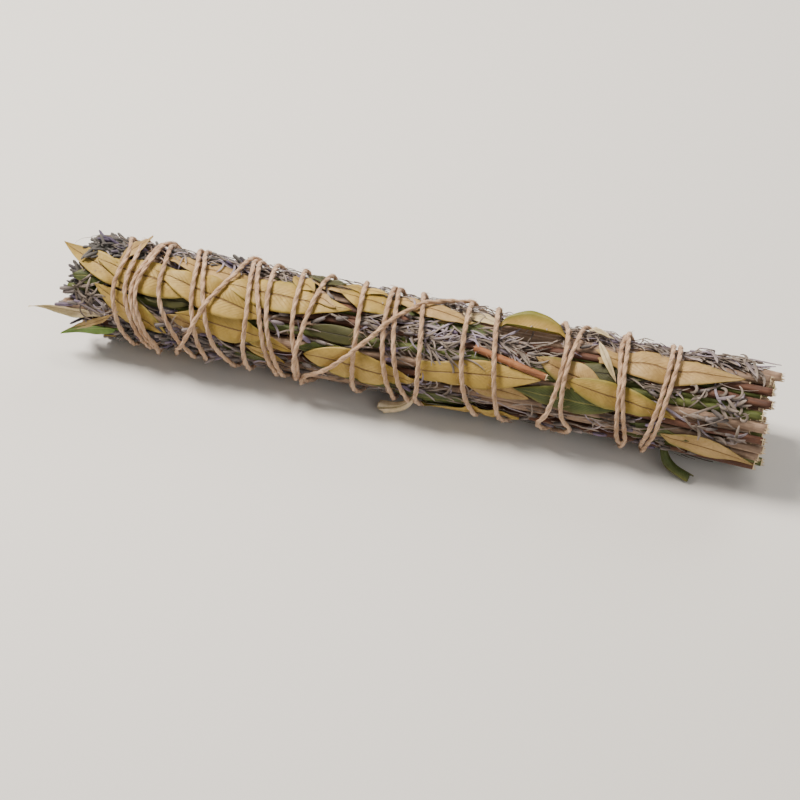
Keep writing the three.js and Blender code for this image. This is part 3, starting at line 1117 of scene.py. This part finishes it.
@dataclass
class Sprigs:
    """Lavender sprigs: a stem each, calyces scattered round the flower end, and a cut end."""

    bundle: Bundle
    effects: Effects
    leaves: Leaves
    sides: int = 12
    steps: int = 120
    spike_from: float = -50.0
    surface: float = 13.2
    layer: float = 15.5
    core: float = 13.4
    reach: float = 108.0
    leaf_thickness: float = 0.14
    stems: dict[str, bpy.types.Material] = field(init=False)
    flowers: dict[FlowerLook, bpy.types.Material] = field(init=False)

    # Where clusters of narrow leaves lie: x and angle of each end, scatter, number tried and curl.
    CLUSTERS = (
        ((-18, 76), (-5, 50), 6, 50, 34), ((0, 76), (20, 33), 8, 105, 44), ((20, 78), (52, 50), 8, 135, 40),
        ((53, 21), (66, -1), 3, 34, 8), ((86, 60), (108, 48), 5, 20, 105), ((94, 18), (106, 5), 5, 13, 105),
        ((3, -2), (25, -10), 4, 40, 60), ((-111, 48), (-99, 8), 8, 90, 60),
        ((-104, 120), (-52, 112), 9, 260, 40), ((72, 116), (110, 112), 5, 150, 40),
        ((66, 66), (84, 50), 5, 36, 50), ((-50, 118), (70, 118), 9, 260, 36),
        ((-92, 20), (-70, 0), 6, 50, 50), ((-52, 125), (66, 125), 9, 200, 36),
    )
    # Where dark flower heads lie: ranges of x, angle and radius, and number tried.
    HEADS = (
        (-103, -91, 88, 126, 12.6, 15.6, 210), (-106, -99, 48, 84, 10.0, 13.8, 110),
        (-106, -98, -30, 46, 8.0, 13.4, 140), (-92, -50, 108, 128, 13.6, 15.3, 120),
        (-98, -60, -36, -8, 14.0, 14.8, 90),
    )

    def __post_init__(self) -> None:
        """Makes the finishes."""
        self.stems = {look.name: look.value.build(self.effects) for look in StemLook}
        self.flowers = {look: look.value.build(self.effects) for look in FlowerLook}

    def middle(self, node: bpy.types.Object, rng: np.random.Generator) -> Array:
        """A sprig's middle line, in metres, with a little crookedness.

        Args:
            node: The CAD sprig.
            rng: Where the crookedness comes from.

        Returns:
            Points from the flower end to the cut end.
        """
        xs, ys, zs = read_rod(self.bundle, node)
        x = np.linspace(xs[0], xs[-1], self.steps)
        t = np.linspace(0, 1, self.steps)
        smooth = np.ones(9) / 9
        sides = []
        for part in (ys, zs):
            side = np.interp(x, xs, part)
            side[4:-4] = np.convolve(side, smooth, "valid")
            sides.append(side + wobble(rng, t, 0.35, 7))
        y, z = sides
        low = self.bundle.cad_squash - self.bundle.squash
        z -= np.where(z < -4, low * np.clip((-z - 4) / 6, 0, 1), 0)
        return (np.stack([x, y, z], 1) + self.bundle.shift) * MM

    def cut_size(self, node: bpy.types.Object) -> float:
        """A CAD stem's radius in millimetres, near its cut end."""
        points = np.array([v.co for v in node.data.vertices]) / MM
        return float(np.ptp(points[points[:, 0] > points[:, 0].max() - 6][:, 1])) / 2

    def stem(self, skin: Skin, line: Array, thickness: float, rng: np.random.Generator) -> None:
        """Adds a stem along a line, with nodes, ribs and a pale cut face.

        Args:
            skin: The mesh to add to.
            line: Its middle line.
            thickness: Its radius in millimetres.
            rng: Where its unevenness comes from.
        """
        t = np.linspace(0, 1, len(line))
        size = thickness * (1 + wobble(rng, t, 0.06, 9))
        for joint in rng.random(2):
            size = size + 0.28 * thickness * np.exp(-((t - joint) / 0.012) ** 2)
        turn = np.linspace(0, FULL_TURN, self.sides, endpoint=False)
        ribs = 1 + 0.09 * np.cos(4 * turn + rng.random() * 6)
        skin.add_tube(line, size[:, None] * ribs * MM, self.sides, look_of(t, t, rng.random(), 0))
        for angle in rng.uniform(0, FULL_TURN, 14 if thickness > 1.2 else 4):
            rim = np.array([0.0, math.cos(angle), math.sin(angle)]) * thickness * rng.uniform(0.55, 1.0)
            reach = np.array([rng.uniform(0.4, 1.3), 0.0, 0.0]) + rim * rng.uniform(-0.1, 0.35)
            tuft = line[-1] + (rim + reach * np.array([[-0.5], [0.4], [1.0]])) * MM
            look = look_of(0.5, 0.5, 0.5, rng.uniform(0.5, 1.0))
            skin.add_tube(tuft, np.array([0.16, 0.13, 0.04]) * MM, 4, look)
        face = line[-1] + unit(line[-1] - line[-2]) * np.array([[0.0], [0.25]]) * MM
        ragged = thickness * (0.93 + 0.1 * rng.random(self.sides)) * MM
        skin.add_tube(face, np.stack([ragged, ragged * 0.86]), self.sides, look_of(0.5, 0.5, 0.5, 1.0))

    def calyces(self, skin: Skin, line: Array, count: int, reach: float, rng: np.random.Generator) -> None:
        """Adds calyces round the flower end of a line.

        Args:
            skin: The mesh to add to.
            line: The sprig's middle line.
            count: How many calyces.
            reach: How far out they stand, in millimetres.
            rng: Where their places come from.
        """
        xs = line[:, 0] / MM - self.bundle.shift[0]
        t = CALYX_STEPS
        for _ in range(count):
            x = rng.uniform(xs[0] + 1.5, self.spike_from)
            foot = np.array([np.interp(x, xs, line[:, k]) for k in range(3)])
            turn = rng.uniform(0, FULL_TURN)
            out = np.array([0.0, math.cos(turn), math.sin(turn)])
            end = self.bundle.from_axis(foot) / MM + out * (reach + 2.2)
            angle = math.degrees(math.atan2(end[2], -end[1]))
            outside = np.hypot(end[1], end[2]) > self.surface
            if outside and self.leaves.covered(np.array([x, x - 3]), angle, 1.2).any():
                continue
            ahead = unit(np.array([-1.0, 0.0, 0.0]) + out * rng.uniform(0.1, 0.75))
            length, fat = rng.uniform(3.2, 5.8), rng.uniform(0.5, 0.85)
            bend = out * (0.5 * t ** 2)[:, None] * rng.uniform(-1, 1)
            spine = foot + (out * reach * rng.uniform(0.35, 0.8) + ahead * (t * length)[:, None] + bend) * MM
            add_calyx(skin, spine, t, fat, (0.35, 0.75, 1.0, 0.95, 0.8, 0.55), rng)

    def build(self, frame: dict) -> None:
        """Makes every sprig and the twig.

        Args:
            frame: The loaded frame.
        """
        slots = slots_of(frame)
        names = sorted(name for name in frame["nodes"] if name.startswith("sprig_"))
        for number, name in enumerate(names):
            rng = np.random.default_rng(300 + number)
            line = self.middle(frame["nodes"][name], rng)
            inner = name.startswith("sprig_inner")
            skin = Skin()
            self.stem(skin, line, self.cut_size(frame["nodes"][name]), rng)
            stem = skin.make(f"{name}_stem", self.stems[slots[name]])
            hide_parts(name)
            flowers = Skin()
            self.calyces(flowers, line, 40 if inner else 110, 2.2 if inner else 1.9, rng)
            spike = flowers.make(f"{name}_flowers", self.flowers[FlowerLook.CALYX])
        rng = np.random.default_rng(7)
        knots = read_rod(self.bundle, frame["nodes"]["twig"], 4)
        t = np.linspace(0, 1, 40)
        line = np.stack([np.interp(t, np.linspace(0, 1, 4), part) for part in knots], 1)
        line = (line + wobble(rng, t, 0.12, 3)[:, None] + self.bundle.shift) * MM
        skin = Skin()
        self.stem(skin, line, 1.1, rng)
        twig = skin.make("twig_bark", self.stems["twig"])
        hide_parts("twig")
        LOG.info("sprigs: %d, and a twig", len(names))

    def side_stems(self, count: int = 130, short: int = 64) -> None:
        """Fills the room between the sprigs with their thin side stems.

        Args:
            count: How many long ones.
            short: How many that only fill the cut end.
        """
        skins = {slot: Skin() for slot in ("grey_stem", "red_stem", "green_stem")}
        rng = np.random.default_rng(11)
        for number in range(count + short):
            full = number < count
            low = rng.uniform(-105, 40) if full else rng.uniform(30, 80)
            high = min(low + rng.uniform(60, 170), rng.uniform(108, 115.5))
            angle = 360.0 * number / count * 7 + rng.uniform(-8, 8)
            x = np.linspace(low, high, 50)
            t = (x - low) / (high - low)
            radius = self.core * math.sqrt(rng.uniform(0.15 if full else 0.4, 1.0)) + wobble(rng, t, 0.4, 4)
            line = self.bundle.place(x, angle + wobble(rng, t, 3.0, 3), radius)
            slot = ("grey_stem", "grey_stem", "red_stem", "green_stem")[number % 4]
            self.stem(skins[slot], line[::2], rng.uniform(0.6, 1.15), rng)
        for slot, skin in skins.items():
            piece = skin.make(f"side_stems_{slot[:-5]}", self.stems[slot])
        LOG.info("side stems: %d", count + short)

    def narrow_leaf(self, skin: Skin, x: float, angle: float, radius: float, heading: float,
                    rng: np.random.Generator, length: float, width: float, curl: float) -> None:
        """Adds one narrow lavender leaf.

        Args:
            skin: The mesh to add to.
            x: Where it starts along the bundle.
            angle: Where it starts round the bundle.
            radius: How far from the axis it lies.
            heading: Its direction in degrees, 0 along +X.
            rng: Where its unevenness comes from.
            length: Its length.
            width: Its width.
            curl: How much it hooks sideways, in degrees.
        """
        t = np.linspace(0, 1, 9)[:, None]
        s = np.array([-1.0, 0.0, 1.0])[None, :]
        way = np.radians(heading + curl * t)
        step = length / 8
        run = np.concatenate([[[0.0]], np.cumsum(np.cos(way[:-1]) * step, 0)])
        turn = np.concatenate([[[0.0]], np.cumsum(np.sin(way[:-1]) * step, 0)])
        half = width / 2 * np.sin(math.pi * np.clip(t * 0.9 + 0.08, 0, 1)) ** 0.5
        px = x + run - np.sin(way) * half * s
        pa = angle + np.degrees((turn + np.cos(way) * half * s) / self.layer)
        lift = wobble(rng, t, 0.35, 2) + 0.4 * half * s ** 2 + 0.15
        pr = self.bundle.pressed(px, pa, radius + lift)
        look = look_of(t, s * 0.5 + 0.5, rng.random(), 0)
        skin.add_sheet(self.bundle.place(px, pa, pr), self.bundle.place(px, pa, pr - self.leaf_thickness), look)
    def clustered(self, rng: np.random.Generator) -> list[tuple[float, float, float, float, float, float]]:
        """Where the thicker clusters of narrow leaves lie.

        Args:
            rng: Where their scatter comes from.

        Returns:
            For each narrow leaf: x, angle, radius, heading, length and curl.
        """
        found = []
        for (x0, a0), (x1, a1), spread, number, curl in self.CLUSTERS:
            slope = math.degrees(math.atan2(math.radians(a1 - a0) * self.layer, x1 - x0))
            for _ in range(number):
                t = rng.random()
                x = x0 + (x1 - x0) * t + rng.normal()
                angle = a0 + (a1 - a0) * t + rng.normal() * spread
                if abs(x) > self.reach or self.leaves.covered(np.array([x, x + 2]), angle, 0.4).any():
                    continue
                radius = self.bundle.ring_radius(x) + rng.uniform(-0.8, 1.7 if a0 < 110 else 2.4)
                heading = slope * (0.4 if curl < 80 else 0.0) + rng.normal() * (12 + curl * 0.5)
                length = rng.uniform(3, 6.5) if curl > 80 else rng.uniform(4, 10)
                found.append((x, angle, radius, heading, length, rng.normal() * curl * 1.3))
        return found

    def fibres(self, count: int = 420) -> None:
        """Adds loose straw-like fibres.

        Args:
            count: How many.
        """
        skin = Skin()
        rng = np.random.default_rng(33)
        for _ in range(count):
            x, angle = rng.uniform(-108, 106), rng.uniform(-180, 180)
            length, heading = rng.uniform(5, 20), rng.choice([0, 180]) + rng.normal() * 16
            t = np.linspace(0, 1, 12)
            way = np.radians(heading + rng.normal() * 50 * t)
            px = x + np.cumsum(np.cos(way)) * length / 12
            pa = angle + np.degrees(np.cumsum(np.sin(way)) * length / 12 / self.layer)
            if np.abs(px).max() > 113 or self.leaves.covered(px, pa, 0.3).mean() > 0.3:
                continue
            radius = self.bundle.ring_radius(px) + rng.uniform(0.2, 2.0) + wobble(rng, t, 0.5, 2)
            line = self.bundle.place(px, pa, self.bundle.pressed(px, pa, radius))
            size = rng.uniform(0.07, 0.17) * (1 - 0.6 * t) * MM
            skin.add_tube(line, size, 5, look_of(rng.random(), t, 0.4 * rng.random(), 0))
        piece = skin.make("loose_fibres", self.flowers[FlowerLook.NARROW])
        LOG.info("loose fibres: %d points", skin.count)

    def foliage(self, count: int = 1500) -> None:
        """Adds flower heads, narrow leaves and loose calyces wherever no long leaf covers the sprigs.

        Args:
            count: How many places are tried for scattered narrow leaves.
        """
        leaves, buds, heads = Skin(), Skin(), Skin()
        rng = np.random.default_rng(21)
        for x, angle, radius, heading, length, curl in self.clustered(rng):
            width = rng.uniform(0.3, 0.75) + 0.35 * (x > 84)
            self.narrow_leaf(leaves, x, angle, radius, heading, rng, length, width, curl)
        for _ in range(count):
            self.scatter(leaves, buds, rng)
        for ranges in self.HEADS:
            self.flower_heads(heads, ranges, rng)
        for name, skin, look in (("dark_heads", heads, FlowerLook.HEAD),
                                 ("narrow_leaves", leaves, FlowerLook.NARROW),
                                 ("loose_calyces", buds, FlowerLook.CALYX)):
            piece = skin.make(name, self.flowers[look])
        LOG.info("foliage: %d points", leaves.count)

    def scatter(self, leaves: Skin, buds: Skin, rng: np.random.Generator) -> None:
        """Tries one place for a narrow leaf, with a calyx beside every second one.

        Args:
            leaves: The mesh of narrow leaves.
            buds: The mesh of loose calyces.
            rng: Where the place comes from.
        """
        x, angle = rng.uniform(-self.reach, self.reach), rng.uniform(-180, 180)
        length = rng.uniform(6, 15)
        heading = rng.choice([0, 180]) + rng.normal() * 24
        end = x + length * math.cos(math.radians(heading))
        turned = angle + math.degrees(length * math.sin(math.radians(heading)) / self.layer)
        spots = np.array([x, (x + end) / 2, end]), np.array([angle, (angle + turned) / 2, turned])
        if abs(end) > self.reach + 1 or self.leaves.covered(*spots, 0.2).any():
            return
        radius = self.bundle.ring_radius(x) + rng.uniform(-0.5, 1.1)
        width, curl = rng.uniform(0.35, 0.85), rng.normal() * 45
        self.narrow_leaf(leaves, x, angle, radius, heading, rng, length, width, curl)
        if rng.random() < 0.5:
            foot, tip = self.bundle.place(spots[0][::2], spots[1][::2], radius + np.array([0, 0.6]))
            way = unit(tip - foot) * rng.uniform(3, 5) * MM
            t = np.array([0, 0.2, 0.5, 0.8, 1.0])
            add_calyx(buds, foot + way * t[:, None], t, rng.uniform(0.5, 0.8), (0.4, 0.85, 1, 0.9, 0.6), rng)

    def flower_heads(self, skin: Skin, ranges: Sequence[float], rng: np.random.Generator) -> None:
        """Adds the calyces of one group of dark flower heads.

        Args:
            skin: The mesh to add to.
            ranges: The group's entry in HEADS.
            rng: Where their places come from.
        """
        x0, x1, a0, a1, r0, r1, number = ranges
        t = CALYX_STEPS
        for _ in range(number):
            x, angle, radius = rng.uniform(x0, x1), rng.uniform(a0, a1), rng.uniform(r0, r1)
            if self.leaves.covered(np.array([x, x - 4]), angle, 0.6).any():
                continue
            length, lean = rng.uniform(3.5, 6.0), rng.uniform(-1.0, 3.2)
            px, pa = x - length * t, angle + rng.normal() * 14 * t
            line = self.bundle.place(px, pa, self.bundle.pressed(px, pa, radius + lean * t) - 0.25)
            add_calyx(skin, line, t, rng.uniform(0.45, 0.75), (0.4, 0.8, 1.0, 0.9, 0.75, 0.35), rng)


# ---------------------------------------------------------------- twine

@dataclass
class Twine:
    """Two-ply jute twine: two strands twisted together along the whole route, with loose hairs."""

    bundle: Bundle
    effects: Effects
    step: float = 0.62
    pitch: float = 8.2
    ply: float = 0.57
    offset: float = 0.22
    sides: int = 7
    hairs: int = 1300
    knot_steps: int = 61
    ply_pair: float = 0.75
    lift: float = 1.35
    crossing: float = 1.25

    def route(self) -> Array:
        """The centre line from knot to knot.

        Returns:
            Points in metres, close together.
        """
        turned = np.linspace(-KNOT_ANGLE, 360 * len(PASSES) - KNOT_ANGLE, len(PASSES) * 240)
        x = self.bundle.twine_x(turned)
        late = np.clip((turned - 360 * (len(OUTWARD_PASSES) - 1) - 30) / 60, 0, 1)
        strands = self.bundle.strands_at(-turned)[:, :len(OUTWARD_PASSES)]
        near = np.min(np.abs(strands - x[:, None]), 1)
        raise_by = self.lift * late * np.exp(-(near / self.crossing) ** 2)
        smooth = np.hanning(15) / np.hanning(15).sum()
        raise_by = np.convolve(np.pad(raise_by, 7, "edge"), smooth, "valid")
        rng = np.random.default_rng(5)
        t = turned / turned[-1]
        slack = wobble(rng, t, 0.1, 60)
        x = x + wobble(rng, t, 0.5, 90) * 0.4
        return self.bundle.place(x, -turned, self.bundle.seat_radius(x) + raise_by + slack * 0.4)

    def build(self) -> None:
        """Makes the twine, its knot and its hairs."""
        rough = self.route()
        gaps = np.linalg.norm(np.diff(rough, axis=0), axis=1)
        far = np.concatenate([[0], np.cumsum(gaps)])
        length = far[-1]
        even = np.arange(0, length, self.step * MM)
        line = np.stack([np.interp(even, far, rough[:, k]) for k in range(3)], 1)
        ahead = unit(np.gradient(line, axis=0))
        out = self.bundle.from_axis(line)
        out = unit(out - ahead * np.sum(out * ahead, 1, keepdims=True))
        across = np.cross(ahead, out)
        rng = np.random.default_rng(3)
        t = even / length
        twist = FULL_TURN * even / (self.pitch * MM) + wobble(rng, t, 2.0, 40)
        finish = TwineFinish("jute twine", (0.80, 0.56, 0.37), (0.43, 0.235, 0.115)).build(self.effects)
        along = (even / MM / self.pitch)[:, None]
        turn = np.linspace(0, 1, self.sides, endpoint=False)
        # Painted shade mask: 1 on the side of each ply that faces the other, 0 on its outer side.
        groove_shade = np.clip(-np.cos(FULL_TURN * turn), 0, 1)
        skin = Skin()
        for side in (0.0, math.pi):
            way = out * np.cos(twist + side)[:, None] + across * np.sin(twist + side)[:, None]
            size = self.ply * (1 + wobble(rng, t, 0.12, 80)) * MM
            look = look_of(along, turn, rng.random(), groove_shade)
            skin.add_tube(line + way * self.offset * MM, size, self.sides, look, (way, np.cross(ahead, way)))
        self.knot(skin, line)
        twine = skin.make("twine_cord", finish)
        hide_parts("twine")
        self.make_hairs(line, out, across, ahead, rng, finish)
        LOG.info("twine: %.2f m", length)
    def knot(self, skin: Skin, line: Array) -> None:
        """Ties the two ends together and leaves their tails.

        Args:
            skin: The mesh to add to.
            line: The twine's centre line.
        """
        middle = (line[0] + line[-1]) / 2
        out = unit(self.bundle.from_axis(middle))
        along = np.array([1.0, 0.0, 0.0])
        side = np.cross(out, along)
        u = np.linspace(0, FULL_TURN, self.knot_steps)[:, None]
        loop = middle + (along * (np.sin(u) + 2 * np.sin(2 * u)) * self.ply_pair
                         + side * (np.cos(u) - 2 * np.cos(2 * u)) * self.ply_pair
                         + out * (1.0 - 0.7 * np.sin(3 * u))) * MM
        # A mark of 0.1 gives the whole knot a little of the twine's painted shade from the hollow between the
        # plies.
        look = look_of(0.3, 0.5, 0.5, 0.1)
        skin.add_tube(loop, np.full(self.knot_steps, 0.7 * MM), 8, look)
        t = np.linspace(0, 1, 24)[:, None]
        for way in (-1, 1):
            tail = middle + (along * way * (2 + 7 * t) + side * (3.5 * t ** 2 * way - 4 * t)
                             + out * (0.8 - 0.9 * t)) * MM
            skin.add_tube(tail, np.linspace(0.68, 0.6, 24) * MM, 8, look)

    def make_hairs(self, line: Array, out: Array, across: Array, ahead: Array, rng: np.random.Generator,
                   finish: bpy.types.Material) -> None:
        """Makes the loose fibres that stand off the twine.

        Args:
            line: The twine's centre line.
            out: The outward direction along it.
            across: The sideways direction along it.
            ahead: Its own direction.
            rng: Where the hairs' places come from.
            finish: The twine's material.
        """
        skin = Skin()
        for _ in range(self.hairs):
            i = int(rng.integers(3, len(line) - 3))
            turn = rng.uniform(-1.7, 1.7)
            way = out[i] * math.cos(turn) + across[i] * math.sin(turn)
            length = rng.uniform(0.8, 3.0)
            t = np.linspace(0, 1, 5)[:, None]
            drift = ahead[i] * rng.choice([-1, 1])
            rise = way * (0.62 + length * 0.6 * t * (1.2 - t))
            spine = line[i] + (rise + drift * length * t + across[i] * rng.normal() * t ** 2) * MM
            if spine[:, 2].min() < 0.2 * MM:
                continue
            skin.add_tube(spine, np.linspace(0.055, 0.025, 5) * MM, 3, look_of(0.2, 0.2, 0.2, 0))
        hairs = skin.make("twine_hairs", finish)


# ---------------------------------------------------------------- studio

@dataclass
class Studio:
    """The floor, the lights and the camera."""

    bundle: Bundle
    eye: Place = (128.83, -448.66, 461.0)
    aim: Place = (-0.45, -7.0, 0.0)
    lens: float = 91.6

    def build(self) -> None:
        """Sets the stage."""
        camera = bpy.data.objects.new("camera", bpy.data.cameras.new("camera"))
        shift = Vector((self.bundle.shift[0], self.bundle.shift[1], 0))
        eye = (Vector(self.eye) + shift) * MM
        aim = (Vector(self.aim) + shift) * MM
        camera.location = eye
        camera.rotation_euler = (aim - eye).to_track_quat("-Z", "Y").to_euler()
        camera.data.lens = self.lens
        camera.data.clip_start = 0.01
        bpy.context.scene.collection.objects.link(camera)
        bpy.context.scene.camera = camera
        mesh = bpy.data.meshes.new("floor")
        mesh.from_pydata([(-3, -3, 0), (3, -3, 0), (3, 3, 0), (-3, 3, 0)], [], [(0, 1, 2, 3)])
        floor = bpy.data.objects.new("floor", mesh)
        paint = bpy.data.materials.new("floor")
        paint.use_nodes = True
        shader = paint.node_tree.nodes["Principled BSDF"]
        shader.inputs["Base Color"].default_value = (0.72, 0.70, 0.67, 1)
        shader.inputs["Roughness"].default_value = 0.8
        mesh.materials.append(paint)
        bpy.context.scene.collection.objects.link(floor)
        self.light("key", (-0.4, 0.1, 0.75), 0.32, 16.5, (1.0, 0.93, 0.84))
        self.light("fill", (0.7, -0.6, 0.6), 0.8, 3.5, (1.0, 0.97, 0.93))
        self.light("back", (0.3, 0.8, 0.5), 0.6, 5.0, (1.0, 0.95, 0.88))
        world = bpy.data.worlds.new("room")
        world.use_nodes = True
        world.node_tree.nodes["Background"].inputs[0].default_value = (1, 0.98, 0.95, 1)
        world.node_tree.nodes["Background"].inputs[1].default_value = 0.22
        bpy.context.scene.world = world

    def light(self, name: str, place: Place, size: float, power: float, colour: Colour) -> None:
        """Adds a soft light that faces the stick.

        Args:
            name: Its name.
            place: Where it hangs, in metres.
            size: The side of its square.
            power: Its power in watts.
            colour: Its colour.
        """
        lamp = bpy.data.lights.new(name, "AREA")
        lamp.size = size
        lamp.energy = power
        lamp.color = colour
        holder = bpy.data.objects.new(name, lamp)
        holder.location = place
        holder.rotation_euler = (-Vector(place)).to_track_quat("-Z", "Y").to_euler()
        bpy.context.scene.collection.objects.link(holder)


def main() -> None:
    """Builds the stick in order."""
    logging.basicConfig(level=logging.INFO)
    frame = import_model()
    bundle = Bundle()
    Studio(bundle).build()
    effects = Effects()
    leaves = Leaves(bundle, effects)
    leaves.build(frame)
    sprigs = Sprigs(bundle, effects, leaves)
    sprigs.build(frame)
    sprigs.side_stems()
    sprigs.foliage()
    sprigs.fibres()
    Twine(bundle, effects).build()


if __name__ == "__main__":
    main()
